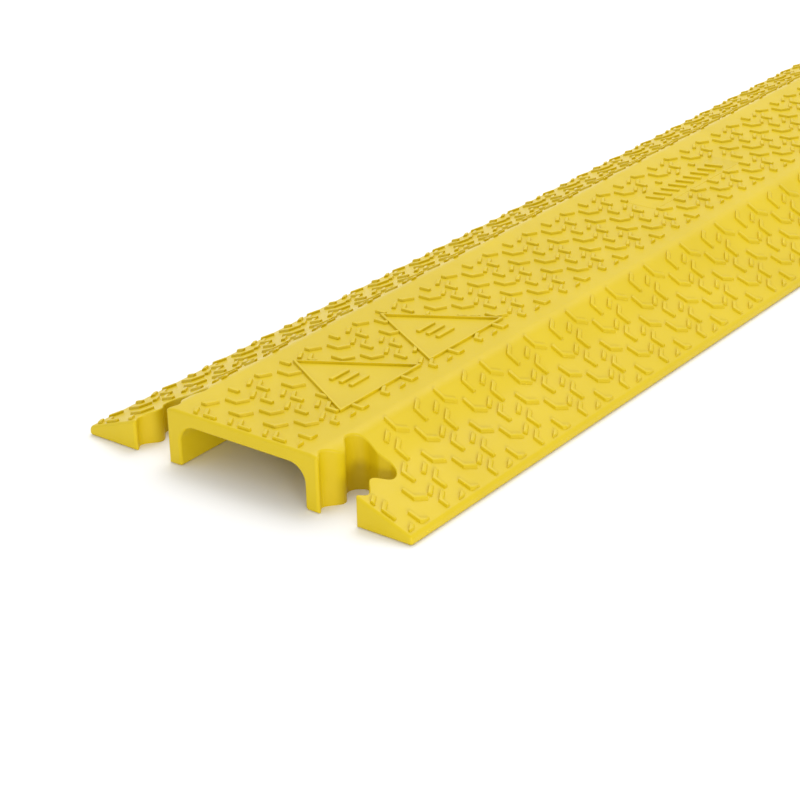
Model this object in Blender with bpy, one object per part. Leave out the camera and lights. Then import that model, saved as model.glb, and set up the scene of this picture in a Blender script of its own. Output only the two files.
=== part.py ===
"""A run of two drop-over cable protector ramps that lock end to end.

Each section is one moulding: a flat deck on two legs over a cable channel, with a
tread ramp on either side.  Its near end has two dog-bone sockets and its far end two
dog-bone tongues, which drop into the next section's sockets from above.

X runs across the ramp, Y along the run and Z up.  The origin is on the floor, in the
middle of the run.  All sizes are in metres.
"""
import math

import bmesh
import bpy
from mathutils import Matrix, Vector

# Overall size of one section.
WIDTH = 0.260
DECK_HEIGHT = 0.039
SECTION_LENGTH = 1.000

# Cable channel under the deck.
CHANNEL_WIDTH = 0.100
CHANNEL_HEIGHT = 0.029
CHANNEL_CORNER = 0.012

# Top outline, from the middle out: deck edge, foot of the shoulder, and ramp toe.
DECK_HALF = 0.0535
CREST_X = 0.0635
CREST_DROP = 0.0035
HIP_X = 0.0845
HIP_HEIGHT = 0.0230
HIP_BLEND = 0.0080
TOE_HEIGHT = 0.006

# Dog-bone socket, whose axis lies along Y midway between the leg and the ramp block.
SOCKET_X = 0.0745
MOUTH_HALF = 0.0135
BULGE_HALF = 0.0175
WAIST_HALF = 0.0100
BULGE_Y = 0.0080
HEAD_Y = 0.0330
SOCKET_DEPTH = 0.0420
HEAD_FLAT_HALF = 0.0080
DIMPLE = 0.0015

# Play between a tongue and its socket, and the gap between two sections.
TONGUE_PLAY = 0.0008
END_GAP = 0.0010
TONGUE_DEPTH = SOCKET_DEPTH - TONGUE_PLAY
TONGUE_LENGTH = END_GAP + TONGUE_DEPTH

# Raised plain panels on the deck.
PANEL_RISE = 0.0018
TRIANGLE_SIDE = 0.0845
TRIANGLE_CORNER = 0.0010
TRIANGLE_APEX_X = -0.0385
TRIANGLE_FIRST_Y = 0.0975
TRIANGLE_PITCH = 0.0930
PAD_LENGTH = 0.1300
PAD_WIDTH = 0.0260
PAD_X = -0.0030
PAD_Y = 0.5375
SINK = 0.0010

ARC_STEPS = 8
BONE_STEPS = 28
CUT_MARGIN = 0.010
PITCH = SECTION_LENGTH + END_GAP
RUN_LENGTH = PITCH + SECTION_LENGTH + TONGUE_LENGTH
NEAR_END_Y = -RUN_LENGTH / 2


def clear_scene():
    """Remove whatever the scene holds."""
    for obj in list(bpy.data.objects):
        bpy.data.objects.remove(obj, do_unlink=True)


def new_collection(name):
    """Return a new collection linked to the scene."""
    collection = bpy.data.collections.new(name)
    bpy.context.scene.collection.children.link(collection)
    return collection


def moulded_yellow():
    """Return the yellow polyurethane that both sections are moulded in."""
    material = bpy.data.materials.new("moulded_yellow_polyurethane")
    material.use_nodes = True
    shader = material.node_tree.nodes["Principled BSDF"]
    shader.inputs["Base Color"].default_value = (0.80, 0.60, 0.035, 1.0)
    shader.inputs["Roughness"].default_value = 0.42
    shader.inputs["Metallic"].default_value = 0.0
    return material


def arc(centre, radius, start, end, steps=ARC_STEPS):
    """Return points along an arc; angles are in degrees."""
    points = []
    for step in range(steps + 1):
        angle = math.radians(start + (end - start) * step / steps)
        points.append((centre[0] + radius * math.cos(angle), centre[1] + radius * math.sin(angle)))
    return points


def blend(before, corner, after, steps=ARC_STEPS):
    """Return points on a smooth curve that rounds a corner between two outline points."""
    points = []
    for step in range(steps + 1):
        t = step / steps
        points.append(tuple((1 - t) ** 2 * a + 2 * t * (1 - t) * b + t ** 2 * c
                            for a, b, c in zip(before, corner, after)))
    return points


def towards(start, end, distance):
    """Return the point at this distance from start on the line to end."""
    step = (Vector(end) - Vector(start)).normalized() * distance
    return (start[0] + step.x, start[1] + step.y)


def half_profile():
    """Return the right half of the cross-section, from the channel roof round to the deck."""
    channel_half = CHANNEL_WIDTH / 2
    corner = (channel_half - CHANNEL_CORNER, CHANNEL_HEIGHT - CHANNEL_CORNER)
    shoulder = [(DECK_HALF + (CREST_X - DECK_HALF) * t, DECK_HEIGHT - CREST_DROP * t ** 2)
                for t in (1.0, 0.75, 0.5, 0.25, 0.0)]
    toe = (WIDTH / 2, TOE_HEIGHT)
    hip = (HIP_X, HIP_HEIGHT)
    ramp = blend(towards(hip, toe, HIP_BLEND), hip, towards(hip, shoulder[0], HIP_BLEND))
    return (arc(corner, CHANNEL_CORNER, 90, 0)
            + [(channel_half, 0.0), (WIDTH / 2, 0.0), toe]
            + ramp + shoulder)


def full_profile():
    """Return the whole cross-section as a closed outline."""
    right = half_profile()
    return right + [(-x, z) for x, z in reversed(right)]


def dog_bone_half_width(y, depth):
    """Return the half width, at a distance y in from the mouth, of a dog-bone of this depth."""
    if y < 0:
        return MOUTH_HALF
    if y < BULGE_Y:
        middle = (MOUTH_HALF + BULGE_HALF) / 2
        return middle - (BULGE_HALF - MOUTH_HALF) / 2 * math.cos(math.pi * y / BULGE_Y)
    if y < HEAD_Y:
        middle = (BULGE_HALF + WAIST_HALF) / 2
        wave = 2 * math.pi * (y - BULGE_Y) / (HEAD_Y - BULGE_Y)
        return middle + (BULGE_HALF - WAIST_HALF) / 2 * math.cos(wave)
    cap = (y - HEAD_Y) / (depth - HEAD_Y)
    return HEAD_FLAT_HALF + (BULGE_HALF - HEAD_FLAT_HALF) * math.sqrt(max(0.0, 1 - cap ** 2))


def dog_bone(depth, inset=0.0, setback=0.0):
    """Return the open outline of a dog-bone that points along +Y, left side first.

    The mouth is at y = setback, and the sides are moved in by inset.
    """
    span = [depth * step / BONE_STEPS for step in range(BONE_STEPS + 1)]
    if setback:
        span.insert(0, -setback)
    left = [(inset - dog_bone_half_width(y, depth), y + setback) for y in span]
    right = [(-x, y) for x, y in reversed(left)]
    return left + [(0.0, depth + setback - DIMPLE)] + right


def prism(name, outline, low, high, collection):
    """Extrude a closed outline in the XY plane from height low to high, as a mesh object."""
    curve = bpy.data.curves.new(name, "CURVE")
    curve.dimensions = "2D"
    curve.fill_mode = "BOTH"
    curve.extrude = (high - low) / 2
    spline = curve.splines.new("POLY")
    spline.points.add(len(outline) - 1)
    for point, (x, y) in zip(spline.points, outline):
        point.co = (x, y, 0.0, 1.0)
    spline.use_cyclic_u = True
    flat = bpy.data.objects.new(name, curve)
    collection.objects.link(flat)
    bpy.context.view_layer.update()
    evaluated = flat.evaluated_get(bpy.context.evaluated_depsgraph_get())
    mesh = bpy.data.meshes.new_from_object(evaluated)
    bpy.data.objects.remove(flat, do_unlink=True)
    mesh.transform(Matrix.Translation((0.0, 0.0, (low + high) / 2)))
    weld(mesh)
    obj = bpy.data.objects.new(name, mesh)
    collection.objects.link(obj)
    return obj


def weld(mesh):
    """Join the loose caps of an extruded outline and point its faces outwards."""
    shape = bmesh.new()
    shape.from_mesh(mesh)
    bmesh.ops.remove_doubles(shape, verts=shape.verts, dist=0.00001)
    bmesh.ops.recalc_face_normals(shape, faces=shape.faces)
    shape.to_mesh(mesh)
    shape.free()


def boolean(target, other, operation):
    """Add an exact Boolean to the target and keep the other object out of the render."""
    modifier = target.modifiers.new(f"{operation.lower()}_{other.name}", "BOOLEAN")
    modifier.operation = operation
    modifier.solver = "EXACT"
    modifier.object = other
    other.hide_render = True
    other.display_type = "WIRE"


def make_blank(name, near_y, parts):
    """Make the plain extrusion of the cross-section, as long as the section and its tongues."""
    length = SECTION_LENGTH + TONGUE_LENGTH
    blank = prism(name, full_profile(), 0.0, length, parts)
    stand_up = Matrix(((1, 0, 0, 0), (0, 0, 1, near_y), (0, 1, 0, 0), (0, 0, 0, 1)))
    blank.data.transform(stand_up)
    blank.data.flip_normals()
    return blank


def cut_sockets(section, near_y, cutters):
    """Cut the two dog-bone sockets in from the near end."""
    bone = dog_bone(SOCKET_DEPTH)
    for side, sign in (("left", -1), ("right", 1)):
        outline = [(sign * SOCKET_X - MOUTH_HALF, near_y - CUT_MARGIN)]
        outline += [(sign * SOCKET_X + x, near_y + y) for x, y in bone]
        outline += [(sign * SOCKET_X + MOUTH_HALF, near_y - CUT_MARGIN)]
        name = f"{section.name}_{side}_socket"
        cutter = prism(name, outline, -CUT_MARGIN, DECK_HEIGHT + CUT_MARGIN, cutters)
        boolean(section, cutter, "DIFFERENCE")


def trim_far_end(section, near_y, cutters):
    """Cut everything past the far end away except the two dog-bone tongues."""
    far_y = near_y + SECTION_LENGTH
    side_x = WIDTH / 2 + CUT_MARGIN
    end_y = far_y + TONGUE_LENGTH + CUT_MARGIN
    bone = dog_bone(TONGUE_DEPTH, TONGUE_PLAY, END_GAP)
    outline = [(-side_x, far_y)]
    for sign in (-1, 1):
        outline += [(sign * SOCKET_X + x, far_y + y) for x, y in bone]
    outline += [(side_x, far_y), (side_x, end_y), (-side_x, end_y)]
    cutter = prism(f"{section.name}_far_end", outline, -CUT_MARGIN, DECK_HEIGHT + CUT_MARGIN, cutters)
    boolean(section, cutter, "DIFFERENCE")


def triangle_outline(near_y):
    """Return an equilateral triangle with rounded corners whose apex points to -X."""
    height = TRIANGLE_SIDE * math.sqrt(3) / 2
    centre = Vector((TRIANGLE_APEX_X + height * 2 / 3, near_y))
    outline = []
    for turn in (180, 300, 60):
        direction = Vector((math.cos(math.radians(turn)), math.sin(math.radians(turn))))
        corner = centre + direction * (height * 2 / 3 - 2 * TRIANGLE_CORNER)
        outline += arc(corner, TRIANGLE_CORNER, turn - 60, turn + 60, 3)
    return outline


def add_panels(section, near_y, cutters):
    """Join the two raised triangles and the raised plain pad to the deck."""
    low = DECK_HEIGHT - SINK
    high = DECK_HEIGHT + PANEL_RISE
    for number in (1, 2):
        middle_y = near_y + TRIANGLE_FIRST_Y + TRIANGLE_PITCH * (number - 1)
        name = f"{section.name}_triangle_{number}"
        boolean(section, prism(name, triangle_outline(middle_y), low, high, cutters), "UNION")
    middle_y = near_y + PAD_Y
    x0, x1 = PAD_X - PAD_WIDTH / 2, PAD_X + PAD_WIDTH / 2
    y0, y1 = middle_y - PAD_LENGTH / 2, middle_y + PAD_LENGTH / 2
    outline = [(x0, y0), (x1, y0), (x1, y1), (x0, y1)]
    boolean(section, prism(f"{section.name}_pad", outline, low, high, cutters), "UNION")


def make_section(name, near_y, parts, cutters, material):
    """Make one whole section whose near end face is at near_y."""
    section = make_blank(name, near_y, parts)
    cut_sockets(section, near_y, cutters)
    trim_far_end(section, near_y, cutters)
    add_panels(section, near_y, cutters)
    section.data.materials.append(material)


def main():
    clear_scene()
    parts = new_collection("cable_protector_ramp")
    cutters = new_collection("cutters")
    material = moulded_yellow()
    make_section("near_section", NEAR_END_Y, parts, cutters, material)
    make_section("far_section", NEAR_END_Y + PITCH, parts, cutters, material)


main()
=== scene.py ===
"""Looks for a run of two yellow drop-over cable protector ramps.

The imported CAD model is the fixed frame.  Each section keeps its place and its size and gets
a moulded skin with rounded edges, the anti-slip tread on the deck and on both ramps, two
raised triangles with plain bars, and a blank name pad.
"""
import math

import bmesh
import bpy
from mathutils import Matrix, Vector


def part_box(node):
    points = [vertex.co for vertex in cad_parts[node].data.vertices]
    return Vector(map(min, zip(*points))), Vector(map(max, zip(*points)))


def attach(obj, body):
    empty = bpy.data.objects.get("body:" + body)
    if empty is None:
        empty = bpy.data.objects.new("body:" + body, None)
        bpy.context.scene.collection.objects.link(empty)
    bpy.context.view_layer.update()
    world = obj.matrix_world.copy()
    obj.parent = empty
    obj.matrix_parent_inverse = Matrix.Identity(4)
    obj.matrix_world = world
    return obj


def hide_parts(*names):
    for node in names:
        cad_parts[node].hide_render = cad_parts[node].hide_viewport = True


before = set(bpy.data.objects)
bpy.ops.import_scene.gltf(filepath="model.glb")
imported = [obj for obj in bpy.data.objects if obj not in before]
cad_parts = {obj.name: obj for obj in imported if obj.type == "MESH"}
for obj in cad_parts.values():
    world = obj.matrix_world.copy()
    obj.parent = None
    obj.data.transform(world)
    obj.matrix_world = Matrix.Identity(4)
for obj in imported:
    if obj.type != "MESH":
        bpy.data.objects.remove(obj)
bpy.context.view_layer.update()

bl_info = {
    "name": "Cable protector ramp",
    "version": (1, 0, 0),
    "blender": (4, 5, 0),
    "location": "View3D > Sidebar > Cable ramp",
    "description": "Moulded skin, tread and raised panels for a drop-over cable protector ramp",
    "category": "Object",
}

SECTIONS = ("near_section", "far_section")
NEAR_LOW, NEAR_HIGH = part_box("near_section")
MM = 0.001
# How far a cutter reaches past what it cuts.
CUT_MARGIN = 10 * MM


# ---------------------------------------------------------------- sizes and colours

class RampSizes(bpy.types.PropertyGroup):
    """Sizes of one section, in metres"""

    width: bpy.props.FloatProperty(
        name="Width", description="Across both ramps", default=NEAR_HIGH.x - NEAR_LOW.x,
        unit="LENGTH")
    deck_height: bpy.props.FloatProperty(
        name="Deck height", description="Floor to the plain deck", default=0.039, unit="LENGTH")
    section_length: bpy.props.FloatProperty(
        name="Section length", description="End face to end face", default=1.0, unit="LENGTH")
    channel_width: bpy.props.FloatProperty(
        name="Channel width", description="Clear width for cables", default=0.100, unit="LENGTH")
    channel_height: bpy.props.FloatProperty(
        name="Channel height", description="Clear height for cables", default=0.029,
        unit="LENGTH")
    channel_corner: bpy.props.FloatProperty(
        name="Channel corner", description="Radius of the channel's upper corners",
        default=0.012, unit="LENGTH")
    deck_half: bpy.props.FloatProperty(
        name="Deck half width", description="Middle to the start of the shoulder",
        default=0.0535, unit="LENGTH")
    crest_x: bpy.props.FloatProperty(
        name="Crest", description="Middle to the top of the ramp", default=0.0635,
        unit="LENGTH")
    crest_drop: bpy.props.FloatProperty(
        name="Crest drop", description="How far the shoulder falls", default=0.0035,
        unit="LENGTH")
    hip_x: bpy.props.FloatProperty(
        name="Hip", description="Middle to where the ramp gets flatter", default=0.0845,
        unit="LENGTH")
    hip_height: bpy.props.FloatProperty(
        name="Hip height", description="Height where the ramp gets flatter", default=0.0230,
        unit="LENGTH")
    hip_reach: bpy.props.FloatProperty(
        name="Hip reach", description="Half width of the curve over the hip", default=0.0072,
        unit="LENGTH")
    toe_height: bpy.props.FloatProperty(
        name="Toe height", description="Height of the ramp's thin edge", default=0.006,
        unit="LENGTH")
    edge_radius: bpy.props.FloatProperty(
        name="Rim radius", description="Rounding of the sockets' rims", default=0.0013,
        unit="LENGTH")
    end_radius: bpy.props.FloatProperty(
        name="End radius", description="Rounding of the end face's edges", default=0.0020,
        unit="LENGTH")


class LinkSizes(bpy.types.PropertyGroup):
    """Sizes of the dog-bone sockets and tongues, in metres"""

    socket_x: bpy.props.FloatProperty(
        name="Socket place", description="Middle of the ramp to the socket's middle",
        default=0.0745, unit="LENGTH")
    mouth_half: bpy.props.FloatProperty(
        name="Mouth half width", description="Half of the socket's mouth", default=0.0135,
        unit="LENGTH")
    bulge_half: bpy.props.FloatProperty(
        name="Bulge half width", description="Half of the socket's widest part",
        default=0.0175, unit="LENGTH")
    waist_half: bpy.props.FloatProperty(
        name="Waist half width", description="Half of the socket's waist", default=0.0100,
        unit="LENGTH")
    bulge_y: bpy.props.FloatProperty(
        name="Bulge place", description="Mouth to the first bulge", default=0.0080,
        unit="LENGTH")
    head_y: bpy.props.FloatProperty(
        name="Head place", description="Mouth to the head's widest part", default=0.0330,
        unit="LENGTH")
    head_flat_half: bpy.props.FloatProperty(
        name="Head flat", description="Half of the flat at the back", default=0.0080,
        unit="LENGTH")
    depth: bpy.props.FloatProperty(
        name="Depth", description="Mouth to the back of the socket", default=0.0420,
        unit="LENGTH")
    dimple: bpy.props.FloatProperty(
        name="Dimple", description="How far the back bulges in", default=0.0015,
        unit="LENGTH")
    play: bpy.props.FloatProperty(
        name="Play", description="Gap between a tongue and its socket", default=0.0008,
        unit="LENGTH")
    end_gap: bpy.props.FloatProperty(
        name="End gap", description="Gap between two sections", default=0.0010, unit="LENGTH")
    mouth_radius: bpy.props.FloatProperty(
        name="Mouth radius", description="Rounding of the upright edges at the mouth",
        default=0.0028, unit="LENGTH")


class TreadSizes(bpy.types.PropertyGroup):
    """Sizes of the anti-slip tread, in metres"""

    pitch_x: bpy.props.FloatProperty(
        name="Pitch across", description="Repeat of the tread across the ramp",
        default=0.02782, unit="LENGTH")
    pitch_y: bpy.props.FloatProperty(
        name="Pitch along", description="Repeat of the tread along the ramp", default=0.0508,
        unit="LENGTH")
    deck_start: bpy.props.FloatProperty(
        name="Deck start", description="Where a repeat starts on the deck, from the middle",
        default=-0.0019, unit="LENGTH")
    ramp_start: bpy.props.FloatProperty(
        name="Ramp start", description="Where a repeat starts on the ramps, from the middle",
        default=-0.0034, unit="LENGTH")
    start_y: bpy.props.FloatProperty(
        name="Start along", description="Where a repeat starts, from the end face",
        default=0.0040, unit="LENGTH")
    arm: bpy.props.FloatProperty(
        name="Arm", description="Length of one arm of a stud", default=0.0084, unit="LENGTH")
    foot_width: bpy.props.FloatProperty(
        name="Foot width", description="Width of an arm where it meets the surface",
        default=0.0032, unit="LENGTH")
    top_width: bpy.props.FloatProperty(
        name="Top width", description="Width of an arm at its top", default=0.0025,
        unit="LENGTH")
    rise: bpy.props.FloatProperty(
        name="Rise", description="Height of a stud over the surface", default=0.0018,
        unit="LENGTH")
    edge: bpy.props.FloatProperty(
        name="Edge", description="Rounding of a stud's top edges", default=0.0005,
        unit="LENGTH")
    deck_field: bpy.props.FloatProperty(
        name="Deck field", description="Middle to the edge of the deck's tread",
        default=0.0440, unit="LENGTH")
    ramp_field_in: bpy.props.FloatProperty(
        name="Ramp field, inner", description="Middle to the inner edge of the ramp's tread",
        default=0.0600, unit="LENGTH")
    ramp_field_out: bpy.props.FloatProperty(
        name="Ramp field, outer", description="Middle to the outer edge of the ramp's tread",
        default=0.1265, unit="LENGTH")
    shortest: bpy.props.FloatProperty(
        name="Shortest piece", description="A trimmed stud that is shorter than this is left out",
        default=0.0052, unit="LENGTH")
    end_margin: bpy.props.FloatProperty(
        name="End margin", description="Plain strip at both ends of a section",
        default=0.0030, unit="LENGTH")


class PanelSizes(bpy.types.PropertyGroup):
    """Sizes of the raised triangles and the name pad, in metres"""

    rise: bpy.props.FloatProperty(
        name="Rise", description="Height over the deck", default=0.0018, unit="LENGTH")
    rim: bpy.props.FloatProperty(
        name="Rim", description="Width of a triangle's raised rim", default=0.0016,
        unit="LENGTH")
    sink: bpy.props.FloatProperty(
        name="Sink", description="Depth of a triangle's middle below its rim",
        default=0.0016, unit="LENGTH")
    triangle_side: bpy.props.FloatProperty(
        name="Triangle side", description="Side of a triangle", default=0.0845,
        unit="LENGTH")
    triangle_apex_x: bpy.props.FloatProperty(
        name="Triangle apex", description="Where a triangle's apex lies across the ramp",
        default=-0.0385, unit="LENGTH")
    triangle_first_y: bpy.props.FloatProperty(
        name="First triangle", description="End face to the first triangle's middle",
        default=0.0975, unit="LENGTH")
    triangle_pitch: bpy.props.FloatProperty(
        name="Triangle pitch", description="From one triangle to the next", default=0.0930,
        unit="LENGTH")
    pad_length: bpy.props.FloatProperty(
        name="Pad length", description="Name pad along the ramp", default=0.1300,
        unit="LENGTH")
    pad_rise: bpy.props.FloatProperty(
        name="Pad rise", description="Height of the plain pad over the deck", default=0.0002,
        unit="LENGTH")
    pad_width: bpy.props.FloatProperty(
        name="Pad width", description="Name pad across the ramp", default=0.0260,
        unit="LENGTH")
    pad_y: bpy.props.FloatProperty(
        name="Pad place along", description="End face to the name pad's middle",
        default=0.5375, unit="LENGTH")
    pad_x: bpy.props.FloatProperty(
        name="Pad place", description="Name pad's middle across the ramp", default=-0.0030,
        unit="LENGTH")


class RampColours(bpy.types.PropertyGroup):
    """Colours, as sRGB hex values"""

    yellow: bpy.props.StringProperty(
        name="Yellow", description="Polyurethane pigment", default="CFB40A")
    yellow_pale: bpy.props.StringProperty(
        name="Pale yellow", description="Where the skin of the moulding is thicker",
        default="D4B910")
    floor: bpy.props.StringProperty(
        name="Floor", description="Studio floor", default="F4F4F4")


class StageSettings(bpy.types.PropertyGroup):
    """Camera and floor"""

    aim: bpy.props.FloatVectorProperty(
        name="Aim", description="Point in the middle of the view",
        default=(0.0295, NEAR_LOW.y + 0.1226, 0.020), subtype="TRANSLATION", unit="LENGTH")
    distance: bpy.props.FloatProperty(
        name="Distance", description="Camera to the aim point", default=1.408, unit="LENGTH")
    azimuth: bpy.props.FloatProperty(
        name="Azimuth", description="Turn of the camera round the object",
        default=math.radians(37.51), subtype="ANGLE")
    elevation: bpy.props.FloatProperty(
        name="Elevation", description="Height of the camera as an angle",
        default=math.radians(25.24), subtype="ANGLE")
    roll: bpy.props.FloatProperty(
        name="Roll", description="Tilt of the camera about its own axis",
        default=math.radians(1.23), subtype="ANGLE")
    lens: bpy.props.FloatProperty(
        name="Lens", description="Focal length on a 36 mm sensor, in millimetres",
        default=98.5)
    floor_size: bpy.props.FloatProperty(
        name="Floor size", description="Side of the square floor", default=16.0,
        unit="LENGTH")


SETTINGS = {
    "ramp_sizes": RampSizes,
    "ramp_links": LinkSizes,
    "ramp_tread": TreadSizes,
    "ramp_panels": PanelSizes,
    "ramp_colours": RampColours,
    "ramp_stage": StageSettings,
}


# ---------------------------------------------------------------- materials

def linear(hex_value):
    """Turn an sRGB hex value into a linear colour with full alpha."""
    channels = [int(hex_value[i:i + 2], 16) / 255 for i in (0, 2, 4)]
    return tuple(c / 12.92 if c <= 0.04045 else ((c + 0.055) / 1.055) ** 2.4
                 for c in channels) + (1.0,)


def add_node(tree, kind, settings=None, values=None, links=None):
    """Add a shader node, set it up, and link other nodes' outputs into it."""
    node = tree.nodes.new(kind)
    for name, value in (settings or {}).items():
        setattr(node, name, value)
    for name, value in (values or {}).items():
        node.inputs[name].default_value = value
    for name, output in (links or {}).items():
        tree.links.new(output, node.inputs[name])
    return node


def new_material(name):
    """Return an empty node material with its output node."""
    material = bpy.data.materials.new(name)
    material.use_nodes = True
    material.node_tree.nodes.clear()
    return material, material.node_tree


def moulded_polyurethane(colours):
    """Yellow polyurethane cast in a spark-eroded mould.

    The pigment goes right through, so the colour is even, with faint clouds where the melt
    cooled at different rates.  The mould leaves a fine satin grain, which breaks up the
    highlights on the rounded edges.
    """
    cloud_size = 70 * MM
    # The real grain is about 0.2 mm; it is drawn coarser so that it shows.
    grain_size = 0.9 * MM
    polish_size = 14 * MM
    material, tree = new_material("moulded_polyurethane")
    place = add_node(tree, "ShaderNodeTexCoord").outputs["Object"]
    clouds = add_node(tree, "ShaderNodeTexNoise",
                      values={"Scale": 1 / cloud_size, "Detail": 3.0, "Roughness": 0.6},
                      links={"Vector": place})
    tint = add_node(tree, "ShaderNodeValToRGB", links={"Fac": clouds.outputs["Fac"]})
    tint.color_ramp.elements[0].position = 0.35
    tint.color_ramp.elements[0].color = linear(colours.yellow)
    tint.color_ramp.elements[1].position = 0.65
    tint.color_ramp.elements[1].color = linear(colours.yellow_pale)
    polish = add_node(tree, "ShaderNodeTexNoise",
                      values={"Scale": 1 / polish_size, "Detail": 4.0, "Roughness": 0.65},
                      links={"Vector": place})
    gloss = add_node(tree, "ShaderNodeMapRange",
                     values={"From Min": 0.3, "From Max": 0.7, "To Min": 0.34, "To Max": 0.46},
                     links={"Value": polish.outputs["Fac"]})
    grain = add_node(tree, "ShaderNodeTexNoise",
                     values={"Scale": 1 / grain_size, "Detail": 2.0, "Roughness": 0.5},
                     links={"Vector": place})
    bump = add_node(tree, "ShaderNodeBump", values={"Strength": 0.25, "Distance": 0.05 * MM},
                    links={"Height": grain.outputs["Fac"]})
    shader = add_node(tree, "ShaderNodeBsdfPrincipled",
                      values={"IOR": 1.50, "Metallic": 0.0, "Specular IOR Level": 0.3},
                      links={"Base Color": tint.outputs["Color"],
                             "Roughness": gloss.outputs["Result"],
                             "Normal": bump.outputs["Normal"]})
    add_node(tree, "ShaderNodeOutputMaterial", links={"Surface": shader.outputs["BSDF"]})
    return material


def studio_paper(colours):
    """Matt white background paper, without any pattern of its own."""
    material, tree = new_material("studio_paper")
    shader = add_node(tree, "ShaderNodeBsdfPrincipled",
                      values={"Base Color": linear(colours.floor), "Roughness": 0.9,
                              "Specular IOR Level": 0.1})
    add_node(tree, "ShaderNodeOutputMaterial", links={"Surface": shader.outputs["BSDF"]})
    return material


def shared_material():
    """Return the polyurethane, which every piece shares."""
    found = bpy.data.materials.get("moulded_polyurethane")
    return found or moulded_polyurethane(bpy.context.scene.ramp_colours)


# ---------------------------------------------------------------- shapes

def surface_height(x, sizes):
    """Return the height of the plain top surface at a distance x from the middle."""
    x = abs(x)
    if x <= sizes.deck_half:
        return sizes.deck_height
    if x <= sizes.crest_x:
        way = (x - sizes.deck_half) / (sizes.crest_x - sizes.deck_half)
        return sizes.deck_height - sizes.crest_drop * way ** 2
    crest_height = sizes.deck_height - sizes.crest_drop
    upper = (sizes.hip_height - crest_height) / (sizes.hip_x - sizes.crest_x)
    lower = (sizes.toe_height - sizes.hip_height) / (sizes.width / 2 - sizes.hip_x)
    if x <= sizes.hip_x - sizes.hip_reach:
        return crest_height + upper * (x - sizes.crest_x)
    if x >= sizes.hip_x + sizes.hip_reach:
        return sizes.hip_height + lower * (x - sizes.hip_x)
    past = x - (sizes.hip_x - sizes.hip_reach)
    start = sizes.hip_height - upper * sizes.hip_reach
    return start + upper * past + (lower - upper) * past ** 2 / (4 * sizes.hip_reach)


def spread(start, end, steps):
    """Return evenly spaced values from start to end."""
    return [start + (end - start) * step / steps for step in range(steps + 1)]


def face_from(shape, points):
    """Add one face through the points."""
    return shape.faces.new([shape.verts.new(point) for point in points])


def round_corner(shape, vertex, radius, segments):
    """Round one corner of a flat outline."""
    bmesh.ops.bevel(shape, geom=[vertex], offset=radius, offset_type="OFFSET",
                    segments=segments, profile=0.5, affect="VERTICES", clamp_overlap=False,
                    material=-1)


def sweep(shape, face, step):
    """Extrude a flat face into a closed solid along a vector."""
    moved = bmesh.ops.extrude_face_region(shape, geom=[face], use_keep_orig=True)
    verts = [item for item in moved["geom"] if isinstance(item, bmesh.types.BMVert)]
    bmesh.ops.translate(shape, verts=verts, vec=step)
    bmesh.ops.recalc_face_normals(shape, faces=shape.faces)


def linked(name, mesh):
    """Return a new object that holds the mesh, linked to the scene."""
    obj = bpy.data.objects.new(name, mesh)
    bpy.context.scene.collection.objects.link(obj)
    return obj


def finished(name, shape):
    """Turn a bmesh into a linked object and free it."""
    mesh = bpy.data.meshes.new(name)
    shape.to_mesh(mesh)
    shape.free()
    return linked(name, mesh)


def baked(obj):
    """Return the object's mesh with its modifiers applied."""
    bpy.context.view_layer.update()
    graph = bpy.context.evaluated_depsgraph_get()
    return bpy.data.meshes.new_from_object(obj.evaluated_get(graph))


def subtract(obj, cutter):
    """Cut one object out of another and delete the cutter."""
    modifier = obj.modifiers.new("cut", "BOOLEAN")
    modifier.operation = "DIFFERENCE"
    modifier.solver = "MANIFOLD"
    modifier.object = cutter
    mesh = baked(obj)
    obj.modifiers.clear()
    old, obj.data = obj.data, mesh
    bpy.data.meshes.remove(old)
    bpy.data.objects.remove(cutter, do_unlink=True)


def dress(obj, body, angle=35.0):
    """Give a finished piece its shading, material and body."""
    obj.data.shade_smooth()
    obj.data.set_sharp_from_angle(angle=math.radians(angle))
    obj.data.materials.clear()
    obj.data.materials.append(shared_material())
    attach(obj, body)
    return obj


# ---------------------------------------------------------------- section body

def cross_section(shape, sizes, y):
    """Add the section's cross-section as one face at y, with its corners rounded."""
    half = sizes.width / 2
    channel = sizes.channel_width / 2
    hip = (sizes.hip_x - sizes.hip_reach, sizes.hip_x + sizes.hip_reach)
    top = ([half] + spread(hip[1], hip[0], 8) + spread(sizes.crest_x, sizes.deck_half, 6)[:-1]
           + [sizes.deck_half])
    corners = [(channel, sizes.channel_height), (channel, 0.0), (half, 0.0)]
    right = corners + [(x, surface_height(x, sizes)) for x in top]
    outline = right + [(-x, z) for x, z in reversed(right)]
    face = face_from(shape, [(x, y, z) for x, z in outline])
    verts = list(face.verts)
    low_radius = sizes.end_radius + 0.1 * MM
    rounding = ((0, sizes.channel_corner, 8), (1, low_radius, 4), (2, low_radius, 4),
                (3, sizes.end_radius + 0.4 * MM, 4))
    for index, radius, segments in rounding:
        round_corner(shape, verts[index], radius, segments)
        round_corner(shape, verts[-1 - index], radius, segments)
    shape.faces.ensure_lookup_table()
    return shape.faces[0]


def dog_bone_half(y, depth, link):
    """Return the half width, at a distance y in from the mouth, of a dog-bone of this depth."""
    if y < 0:
        return link.mouth_half
    if y < link.bulge_y:
        middle = (link.mouth_half + link.bulge_half) / 2
        wave = math.pi * y / link.bulge_y
        return middle - (link.bulge_half - link.mouth_half) / 2 * math.cos(wave)
    if y < link.head_y:
        middle = (link.bulge_half + link.waist_half) / 2
        wave = 2 * math.pi * (y - link.bulge_y) / (link.head_y - link.bulge_y)
        return middle + (link.bulge_half - link.waist_half) / 2 * math.cos(wave)
    cap = (y - link.head_y) / (depth - link.head_y)
    bow = math.sqrt(max(0.0, 1 - cap ** 2))
    return link.head_flat_half + (link.bulge_half - link.head_flat_half) * bow


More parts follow.
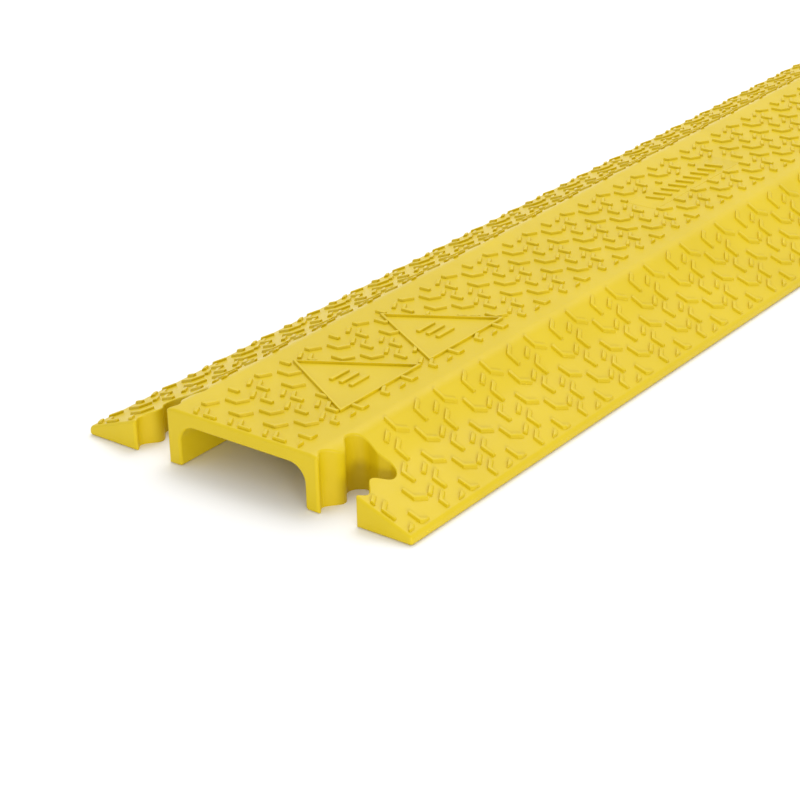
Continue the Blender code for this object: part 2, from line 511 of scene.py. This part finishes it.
def bone_steps(depth, link):
    """Return the distances from the mouth at which the dog-bone's sides are drawn."""
    straight = spread(0.0, link.head_y, 30)
    cap = [link.head_y + (depth - link.head_y) * math.sin(math.radians(angle))
           for angle in spread(11.25, 90.0, 7)]
    return straight + cap


def socket_side(link):
    """Return one side of a socket's outline, flared where it meets the end face."""
    radius = link.mouth_radius
    flare = []
    for angle in spread(0.0, 75.0, 5):
        turn = math.radians(angle)
        y = radius * (1 - math.cos(turn))
        flare.append((dog_bone_half(y, link.depth, link) + radius * (1 - math.sin(turn)), y))
    side = [(dog_bone_half(y, link.depth, link), y)
            for y in bone_steps(link.depth, link) if y > radius]
    return flare + side


def socket_outline(link):
    """Return a closed outline of a socket that opens towards -Y."""
    side = socket_side(link)
    left = [(-side[0][0], -CUT_MARGIN)] + [(-x, y) for x, y in side]
    right = [(x, y) for x, y in reversed(side)] + [(side[0][0], -CUT_MARGIN)]
    return left + [(0.0, link.depth - link.dimple)] + right


def tongue_outline(link):
    """Return the open outline of a tongue that points along +Y from the end face."""
    depth = link.depth - link.play
    side = [(dog_bone_half(0.0, depth, link) - link.play, 0.0)]
    side += [(dog_bone_half(y, depth, link) - link.play, y + link.end_gap)
             for y in bone_steps(depth, link)]
    tip = (0.0, depth + link.end_gap - link.dimple)
    return [(-x, y) for x, y in side] + [tip] + [(x, y) for x, y in reversed(side)]


def grown(outline, distance):
    """Return a closed flat outline moved outwards by a distance."""
    points = [Vector(point) for point in outline]
    area = sum(a.x * b.y - b.x * a.y for a, b in zip(points, points[1:] + points[:1]))
    turn = 1.0 if area > 0 else -1.0
    result = []
    for before, point, after in zip(points[-1:] + points[:-1], points, points[1:] + points[:1]):
        into = (point - before).normalized()
        out = (after - point).normalized()
        normal_in = Vector((into.y, -into.x)) * turn
        normal_out = Vector((out.y, -out.x)) * turn
        mitre = (normal_in + normal_out).normalized()
        result.append(point + mitre * distance / max(0.6, mitre.dot(normal_in)))
    return result


def finely(outline, step):
    """Return a closed flat outline with points added until no side is much longer than a step."""
    result = []
    for start, end in zip(outline, outline[1:] + outline[:1]):
        start, end = Vector(start), Vector(end)
        count = max(1, round((end - start).length / step))
        result += [start.lerp(end, number / count) for number in range(count)]
    return result


def socket_cutter(outline, sizes):
    """Make an upright solid from a flat outline that leaves a rolled rim on the top surface.

    Its rings follow the surface: straight up to the rim's foot, out along a quarter circle,
    and straight up again outside it.
    """
    radius = sizes.edge_radius
    outline = finely(outline, 1.6 * MM)
    rolled = [(radius * (1 - math.cos(turn)), -radius * (1 - math.sin(turn)))
              for turn in (math.radians(angle) for angle in (0.0, 22.5, 45.0, 67.5))]
    shape = bmesh.new()
    rings = [[shape.verts.new((x, y, -CUT_MARGIN)) for x, y in outline]]
    for out, rise in rolled + [(radius, 0.06 * radius)]:
        ring = grown(outline, out)
        rings.append([shape.verts.new((p.x, p.y, surface_height(p.x, sizes) + rise))
                      for p in ring])
    top = sizes.deck_height + CUT_MARGIN
    rings.append([shape.verts.new((p.x, p.y, top)) for p in grown(outline, radius)])
    for low, high in zip(rings, rings[1:]):
        for index in range(len(low)):
            shape.faces.new((low[index - 1], low[index], high[index], high[index - 1]))
    shape.faces.new(rings[0])
    shape.faces.new(rings[-1])
    bmesh.ops.recalc_face_normals(shape, faces=shape.faces)
    return finished("cutter", shape)


def section_mesh(sizes, link):
    """Return the mesh of one section's body, with its near end face at y = 0."""
    tongue_length = link.depth - link.play + link.end_gap
    shape = bmesh.new()
    face = cross_section(shape, sizes, 0.0)
    sweep(shape, face, (0.0, sizes.section_length + tongue_length, 0.0))
    near_edges = [edge for edge in shape.edges
                  if all(vert.co.y < 0.5 * MM for vert in edge.verts)]
    bmesh.ops.bevel(shape, geom=near_edges, offset=sizes.end_radius, offset_type="OFFSET",
                    segments=5, profile=0.5, affect="EDGES", clamp_overlap=False, material=-1)
    body = finished("section_body", shape)
    for sign in (-1, 1):
        outline = [(sign * link.socket_x + x, y) for x, y in socket_outline(link)]
        subtract(body, socket_cutter(outline, sizes))
    far_y = sizes.section_length
    side_x = sizes.width / 2 + CUT_MARGIN
    end_y = far_y + tongue_length + CUT_MARGIN
    outline = [(-side_x, far_y)]
    for sign in (-1, 1):
        outline += [(sign * link.socket_x + x, far_y + y) for x, y in tongue_outline(link)]
    outline += [(side_x, far_y), (side_x, end_y), (-side_x, end_y)]
    subtract(body, socket_cutter(outline, sizes))
    mesh = body.data.copy()
    bpy.data.objects.remove(body, do_unlink=True)
    return mesh


# ---------------------------------------------------------------- tread

def bar_outline(points, width):
    """Return the closed outline of a bar of this width that follows some points."""
    points = [Vector(point) for point in points]
    ways = [(end - start).normalized() for start, end in zip(points, points[1:])]
    left, right = [], []
    for point, before, after in zip(points, ways[:1] + ways, ways + ways[-1:]):
        side = Vector((-before.y, before.x))
        mitre = (side + Vector((-after.y, after.x))).normalized()
        reach = mitre * (width / 2) / mitre.dot(side)
        left.append(point + reach)
        right.append(point - reach)
    return left + right[::-1]


def bent_stud(shape, points, tread, sunk):
    """Add one bent stud: a low bar with sloping sides and softened top edges."""
    start = set(shape.verts)
    foot = [(p.x, p.y, -sunk) for p in bar_outline(points, tread.foot_width)]
    top = [(p.x, p.y, tread.rise) for p in bar_outline(points, tread.top_width)]
    low = face_from(shape, foot)
    high = face_from(shape, top)
    low.normal_update()
    high.normal_update()
    bmesh.ops.bridge_loops(shape, edges=list(low.edges) + list(high.edges))
    faces = {face for vert in shape.verts if vert not in start for face in vert.link_faces}
    bmesh.ops.recalc_face_normals(shape, faces=list(faces))
    bmesh.ops.bevel(shape, geom=list(high.edges), offset=tread.edge, offset_type="OFFSET",
                    segments=2, profile=0.5, affect="EDGES", clamp_overlap=True, material=-1)


def tread_cell(tread):
    """Return the bent and the straight bars of one repeat of the tread, as three points each.

    The places are fractions of the repeat.
    """
    def arm(angle):
        turn = math.radians(angle)
        return Vector((math.cos(turn), math.sin(turn))) * tread.arm

    px, py = tread.pitch_x, tread.pitch_y
    bars = []
    for x, y in ((0.597 * px, 0.241 * py), (0.097 * px, 0.491 * py)):
        corner = Vector((x, y))
        bars.append((corner + arm(180), corner, corner + arm(60)))
    for x, y in ((0.473 * px, 0.739 * py), (0.973 * px, 0.989 * py)):
        corner = Vector((x, y))
        bars.append((corner + arm(0), corner, corner + arm(120)))
    for x, y in ((0.650 * px, 0.0235 * py), (0.150 * px, 0.7735 * py)):
        middle = Vector((x, y))
        bars.append((middle + arm(120) / 2, middle, middle + arm(300) / 2))
    return bars


def clip(shape, point, outward):
    """Cut away what lies beyond a plane and close the cut."""
    geom = list(shape.verts) + list(shape.edges) + list(shape.faces)
    cut = bmesh.ops.bisect_plane(shape, geom=geom, plane_co=point, plane_no=outward,
                                 clear_outer=True, dist=0.000001)
    edges = [item for item in cut["geom_cut"] if isinstance(item, bmesh.types.BMEdge)]
    if edges:
        bmesh.ops.holes_fill(shape, edges=edges, sides=0)


def triangle_corners(panels, middle_y):
    """Return the three corners of a raised triangle whose apex points to -X."""
    height = panels.triangle_side * math.sqrt(3) / 2
    apex = Vector((panels.triangle_apex_x, middle_y))
    return [apex,
            apex + Vector((height, -panels.triangle_side / 2)),
            apex + Vector((height, panels.triangle_side / 2))]


def pad_corners(panels):
    """Return the four corners of the name pad, for a section that starts at y = 0."""
    x, y = panels.pad_x, panels.pad_y
    dx, dy = panels.pad_width / 2, panels.pad_length / 2
    return [Vector((x - dx, y - dy)), Vector((x + dx, y - dy)),
            Vector((x + dx, y + dy)), Vector((x - dx, y + dy))]


def sides(corners):
    """Return a point and an outward direction for each side of a flat convex panel."""
    middle = sum(corners, Vector((0.0, 0.0))) / len(corners)
    result = []
    for start, end in zip(corners, corners[1:] + corners[:1]):
        along = (end - start).normalized()
        outward = Vector((along.y, -along.x))
        if outward.dot(start - middle) < 0:
            outward = -outward
        result.append((start, outward))
    return result


def keep_clear(shape, corners, gap):
    """Cut a stud where it would run into a raised panel.  Return False if nothing is left."""
    reach = []
    for start, outward in sides(corners):
        distances = [(vert.co.xy - start).dot(outward) for vert in shape.verts]
        reach.append((max(distances), min(distances), start, outward))
    if any(nearest > gap for _, nearest, _, _ in reach):
        return True
    furthest, nearest, start, outward = max(reach, key=lambda item: item[0])
    if furthest < gap:
        return False
    point = start + outward * gap
    clip(shape, (point.x, point.y, 0.0), (-outward.x, -outward.y, 0.0))
    return bool(shape.verts)


def in_socket(x, y, link):
    """Return whether a point of the plan lies in or close to a socket."""
    rim = 1.6 * MM
    half = dog_bone_half(min(y, link.depth), link.depth, link)
    return y < link.depth + rim and abs(abs(x) - link.socket_x) < half + rim


def tread_mesh(field, sizes, link, tread, panels):
    """Return the tread of one field (low x, high x), for a section that starts at y = 0."""
    low_x, high_x = field
    low_y, high_y = tread.end_margin, sizes.section_length - tread.end_margin
    sunk = 0.4 * MM
    on_deck = abs(low_x + high_x) < sizes.width / 4
    start_x = tread.deck_start if on_deck else tread.ramp_start
    raised = []
    if on_deck:
        for number in (0, 1):
            middle = panels.triangle_first_y + number * panels.triangle_pitch
            raised.append(triangle_corners(panels, middle))
        raised.append(pad_corners(panels))
    whole = bmesh.new()
    piece = bpy.data.meshes.new("stud")
    first_row = math.floor(low_x / tread.pitch_x) - 1
    last_row = math.ceil(high_x / tread.pitch_x) + 1
    last_column = math.ceil(high_y / tread.pitch_y) + 1
    for row in range(first_row, last_row):
        for column in range(-1, last_column):
            shift = Vector((row * tread.pitch_x + start_x,
                            column * tread.pitch_y + tread.start_y))
            for bar in tread_cell(tread):
                points = [point + shift for point in bar]
                shape = bmesh.new()
                bent_stud(shape, points, tread, sunk)
                field_box = (low_x, high_x, low_y, high_y)
                if place_stud(shape, field_box, raised, link, tread.shortest):
                    shape.to_mesh(piece)
                    whole.from_mesh(piece)
                shape.free()
    bpy.data.meshes.remove(piece)
    for vert in whole.verts:
        vert.co.z += surface_height(vert.co.x, sizes)
    mesh = bpy.data.meshes.new("tread")
    whole.to_mesh(mesh)
    whole.free()
    return mesh


def place_stud(shape, field, raised, link, shortest):
    """Trim one stud to its field.  Return False if it isn't wanted."""
    low_x, high_x, low_y, high_y = field
    xs = [vert.co.x for vert in shape.verts]
    ys = [vert.co.y for vert in shape.verts]
    if max(xs) < low_x or min(xs) > high_x or max(ys) < low_y or min(ys) > high_y:
        return False
    if any(in_socket(vert.co.x, vert.co.y, link) for vert in shape.verts):
        return False
    if min(xs) < low_x:
        clip(shape, (low_x, 0.0, 0.0), (-1.0, 0.0, 0.0))
    if max(xs) > high_x:
        clip(shape, (high_x, 0.0, 0.0), (1.0, 0.0, 0.0))
    if min(ys) < low_y:
        clip(shape, (0.0, low_y, 0.0), (0.0, -1.0, 0.0))
    if max(ys) > high_y:
        clip(shape, (0.0, high_y, 0.0), (0.0, 1.0, 0.0))
    for corners in raised:
        if not keep_clear(shape, corners, 0.3 * MM):
            return False
    bmesh.ops.recalc_face_normals(shape, faces=shape.faces)
    xs = [vert.co.x for vert in shape.verts] or [0.0]
    ys = [vert.co.y for vert in shape.verts] or [0.0]
    return max(max(xs) - min(xs), max(ys) - min(ys)) > shortest


# ---------------------------------------------------------------- raised panels

def raised_plate(shape, corners, low, high, radius, edge):
    """Add a flat raised plate with rounded corners and softened top edges."""
    face = face_from(shape, [(corner.x, corner.y, low) for corner in corners])
    verts = list(face.verts)
    for vert in verts:
        round_corner(shape, vert, radius, 3)
    shape.faces.ensure_lookup_table()
    face = [item for item in shape.faces if item.is_valid][-1]
    raised = bmesh.ops.extrude_face_region(shape, geom=[face], use_keep_orig=True)
    new = [item for item in raised["geom"] if isinstance(item, bmesh.types.BMVert)]
    bmesh.ops.translate(shape, verts=new, vec=(0.0, 0.0, high - low))
    bmesh.ops.recalc_face_normals(shape, faces=shape.faces)
    top = {item for vert in new for item in vert.link_edges
           if all(abs(end.co.z - high) < 0.000001 for end in item.verts)}
    bmesh.ops.bevel(shape, geom=list(top), offset=edge, offset_type="OFFSET", segments=2,
                    profile=0.5, affect="EDGES", clamp_overlap=True, material=-1)


def plate_mesh(outlines, low, high, radius=0.8 * MM, edge=0.35 * MM):
    """Return one mesh of several raised plates of the same height."""
    whole = bmesh.new()
    piece = bpy.data.meshes.new("plate")
    for corners in outlines:
        shape = bmesh.new()
        raised_plate(shape, corners, low, high, radius, edge)
        shape.to_mesh(piece)
        whole.from_mesh(piece)
        shape.free()
    bpy.data.meshes.remove(piece)
    mesh = bpy.data.meshes.new("plates")
    whole.to_mesh(mesh)
    whole.free()
    return mesh


def rimmed_triangle(panels, middle_y, deck):
    """Return a raised triangle whose middle is sunk inside a narrow rim."""
    corners = triangle_corners(panels, middle_y)
    centre = sum(corners, Vector((0.0, 0.0))) / 3
    across = panels.triangle_side / (2 * math.sqrt(3))
    inner = [centre + (corner - centre) * (1 - panels.rim / across) for corner in corners]
    top = deck + panels.rise
    plate = linked("plate", plate_mesh([corners], deck - MM, top))
    hollow = linked("hollow", plate_mesh([inner], top - panels.sink, top + 2 * MM))
    subtract(plate, hollow)
    mesh = plate.data.copy()
    bpy.data.objects.remove(plate, do_unlink=True)
    return mesh


def mark_bars(panels, middle_y):
    """Return the outlines of three plain parallel bars in the middle of a triangle."""
    height = panels.triangle_side * math.sqrt(3) / 2
    middle_x = panels.triangle_apex_x + height * 0.64
    bars = []
    for x in (middle_x - 8 * MM, middle_x, middle_x + 8 * MM):
        bars.append(bar_outline([(x, middle_y - 9 * MM), (x, middle_y + 9 * MM)], 3.2 * MM))
    return bars


def pad_bars(panels):
    """Return the plain slanting bars that stand where a maker would put a name."""
    bars = []
    count = 9
    lean = 0.0040
    length = panels.pad_width * 0.54
    run = panels.pad_length * 0.78
    for number in range(count):
        y = panels.pad_y - run / 2 + run * (number + 0.5) / count
        start = (panels.pad_x - length / 2, y - lean / 2)
        end = (panels.pad_x + length / 2, y + lean / 2)
        bars.append(bar_outline([start, end], 3.0 * MM))
    return bars


# ---------------------------------------------------------------- operators

def each_section(mesh, suffix):
    """Link a copy of a mesh to each section, moved to its place."""
    pieces = []
    for section in SECTIONS:
        name = f"{section}_{suffix}"
        copy = mesh.copy()
        copy.name = name
        copy.transform(Matrix.Translation((0.0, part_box(section)[0].y, 0.0)))
        pieces.append((linked(name, copy), section))
    bpy.data.meshes.remove(mesh)
    return pieces


class RAMP_OT_add_bodies(bpy.types.Operator):
    """Add the moulded body of each section, with sockets and tongues"""

    bl_idname = "ramp.add_bodies"
    bl_label = "Section bodies"

    def execute(self, context):
        scene = context.scene
        mesh = section_mesh(scene.ramp_sizes, scene.ramp_links)
        for obj, section in each_section(mesh, "body"):
            dress(obj, section)
            weighted = obj.modifiers.new("even_shading", "WEIGHTED_NORMAL")
            weighted.keep_sharp = True
            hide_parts(section)
        return {"FINISHED"}


class RAMP_OT_add_tread(bpy.types.Operator):
    """Add the anti-slip studs on the deck and on both ramps"""

    bl_idname = "ramp.add_tread"
    bl_label = "Tread"

    def execute(self, context):
        scene = context.scene
        tread = scene.ramp_tread
        fields = {
            "deck_tread": (-tread.deck_field, tread.deck_field),
            "left_ramp_tread": (-tread.ramp_field_out, -tread.ramp_field_in),
            "right_ramp_tread": (tread.ramp_field_in, tread.ramp_field_out),
        }
        for suffix, field in fields.items():
            mesh = tread_mesh(field, scene.ramp_sizes, scene.ramp_links, tread,
                              scene.ramp_panels)
            for obj, section in each_section(mesh, suffix):
                dress(obj, section, 30.0)
        return {"FINISHED"}


class RAMP_OT_add_triangles(bpy.types.Operator):
    """Add the two raised triangles of each section and their plain bars"""

    bl_idname = "ramp.add_triangles"
    bl_label = "Triangles"

    def execute(self, context):
        scene = context.scene
        panels = scene.ramp_panels
        deck = scene.ramp_sizes.deck_height
        top = deck + panels.rise
        for number in (1, 2):
            middle = panels.triangle_first_y + panels.triangle_pitch * (number - 1)
            plate = rimmed_triangle(panels, middle, deck)
            for obj, section in each_section(plate, f"triangle_{number}"):
                dress(obj, section)
            mark = plate_mesh(mark_bars(panels, middle), deck - MM, top,
                              0.4 * MM, 0.25 * MM)
            for obj, section in each_section(mark, f"triangle_{number}_mark"):
                dress(obj, section)
        return {"FINISHED"}


class RAMP_OT_add_pads(bpy.types.Operator):
    """Add the blank name pad of each section"""

    bl_idname = "ramp.add_pads"
    bl_label = "Name pads"

    def execute(self, context):
        scene = context.scene
        panels = scene.ramp_panels
        deck = scene.ramp_sizes.deck_height
        plate = plate_mesh([pad_corners(panels)], deck - MM, deck + panels.pad_rise)
        for obj, section in each_section(plate, "name_pad"):
            dress(obj, section)
        bars = plate_mesh(pad_bars(panels), deck - MM, deck + panels.rise,
                          0.4 * MM, 0.25 * MM)
        for obj, section in each_section(bars, "name_pad_bars"):
            dress(obj, section)
        return {"FINISHED"}


class RAMP_OT_set_stage(bpy.types.Operator):
    """Add the floor, the lights and the camera"""

    bl_idname = "ramp.set_stage"
    bl_label = "Stage"

    def execute(self, context):
        scene = context.scene
        stage = scene.ramp_stage
        add_floor(stage, scene.ramp_colours)
        add_lights(scene)
        add_camera(scene, stage)
        return {"FINISHED"}


def add_floor(stage, colours):
    """Lay a large square of pale paper under the object."""
    shape = bmesh.new()
    bmesh.ops.create_grid(shape, x_segments=1, y_segments=1, size=stage.floor_size / 2)
    floor = finished("studio_floor", shape)
    floor.data.materials.append(studio_paper(colours))


def area_light(name, place, aim, size, power):
    """Add one square soft light that points from its place to its aim."""
    data = bpy.data.lights.new(name, "AREA")
    data.shape = "SQUARE"
    data.size = size
    data.energy = power
    light = bpy.data.objects.new(name, data)
    bpy.context.scene.collection.objects.link(light)
    place, aim = Vector(place), Vector(aim)
    light.rotation_euler = (aim - place).to_track_quat("-Z", "Y").to_euler()
    light.location = place


def add_lights(scene):
    """Set a white sky, a soft box above and a low one in front on the right."""
    world = bpy.data.worlds.new("studio_sky")
    world.use_nodes = True
    sky = world.node_tree.nodes["Background"]
    sky.inputs["Color"].default_value = (1.0, 1.0, 1.0, 1.0)
    sky.inputs["Strength"].default_value = 0.86
    scene.world = world
    aim = (0.0, NEAR_LOW.y + 0.5, 0.0)
    area_light("soft_box_above", (-0.6, NEAR_LOW.y + 1.4, 2.6), aim, 2.2, 42.0)
    area_light("low_soft_box", (1.9, NEAR_LOW.y - 1.2, 0.22), (0.0, NEAR_LOW.y, 0.02), 0.5,
               19.0)


def add_camera(scene, stage):
    """Place the camera by its aim point, angles and distance."""
    ahead = Vector((-math.sin(stage.azimuth) * math.cos(stage.elevation),
                    math.cos(stage.azimuth) * math.cos(stage.elevation),
                    -math.sin(stage.elevation)))
    right = ahead.cross(Vector((0.0, 0.0, 1.0))).normalized()
    up = right.cross(ahead)
    turn = Matrix.Rotation(stage.roll, 3, ahead)
    right, up = turn @ right, turn @ up
    data = bpy.data.cameras.new("camera")
    data.sensor_width = 36.0
    data.lens = stage.lens
    data.clip_end = 50.0
    camera = bpy.data.objects.new("camera", data)
    scene.collection.objects.link(camera)
    axes = Matrix((right, up, -ahead)).transposed()
    place = Vector(stage.aim) - ahead * stage.distance
    camera.matrix_world = Matrix.Translation(place) @ axes.to_4x4()
    scene.camera = camera
    scene.view_settings.view_transform = "Standard"


class RAMP_PT_sidebar(bpy.types.Panel):
    """Lists the steps and the settings of the ramp"""

    bl_idname = "RAMP_PT_sidebar"
    bl_label = "Cable protector ramp"
    bl_space_type = "VIEW_3D"
    bl_region_type = "UI"
    bl_category = "Cable ramp"

    def draw(self, context):
        for operator in OPERATORS:
            self.layout.operator(operator.bl_idname)
        for name, group in SETTINGS.items():
            box = self.layout.box()
            for field in group.__annotations__:
                box.prop(getattr(context.scene, name), field)


OPERATORS = (RAMP_OT_set_stage, RAMP_OT_add_bodies, RAMP_OT_add_tread, RAMP_OT_add_triangles,
             RAMP_OT_add_pads)
CLASSES = tuple(SETTINGS.values()) + OPERATORS + (RAMP_PT_sidebar,)


def register():
    """Register the classes and hang the settings on the scene."""
    for item in CLASSES:
        bpy.utils.register_class(item)
    for name, group in SETTINGS.items():
        setattr(bpy.types.Scene, name, bpy.props.PointerProperty(type=group))


def unregister():
    """Take the settings and the classes away again."""
    for name in SETTINGS:
        delattr(bpy.types.Scene, name)
    for item in reversed(CLASSES):
        bpy.utils.unregister_class(item)


def main():
    """Build everything."""
    register()
    bpy.ops.ramp.set_stage()
    bpy.ops.ramp.add_bodies()
    bpy.ops.ramp.add_tread()
    bpy.ops.ramp.add_triangles()
    bpy.ops.ramp.add_pads()


if __name__ == "__main__":
    main()
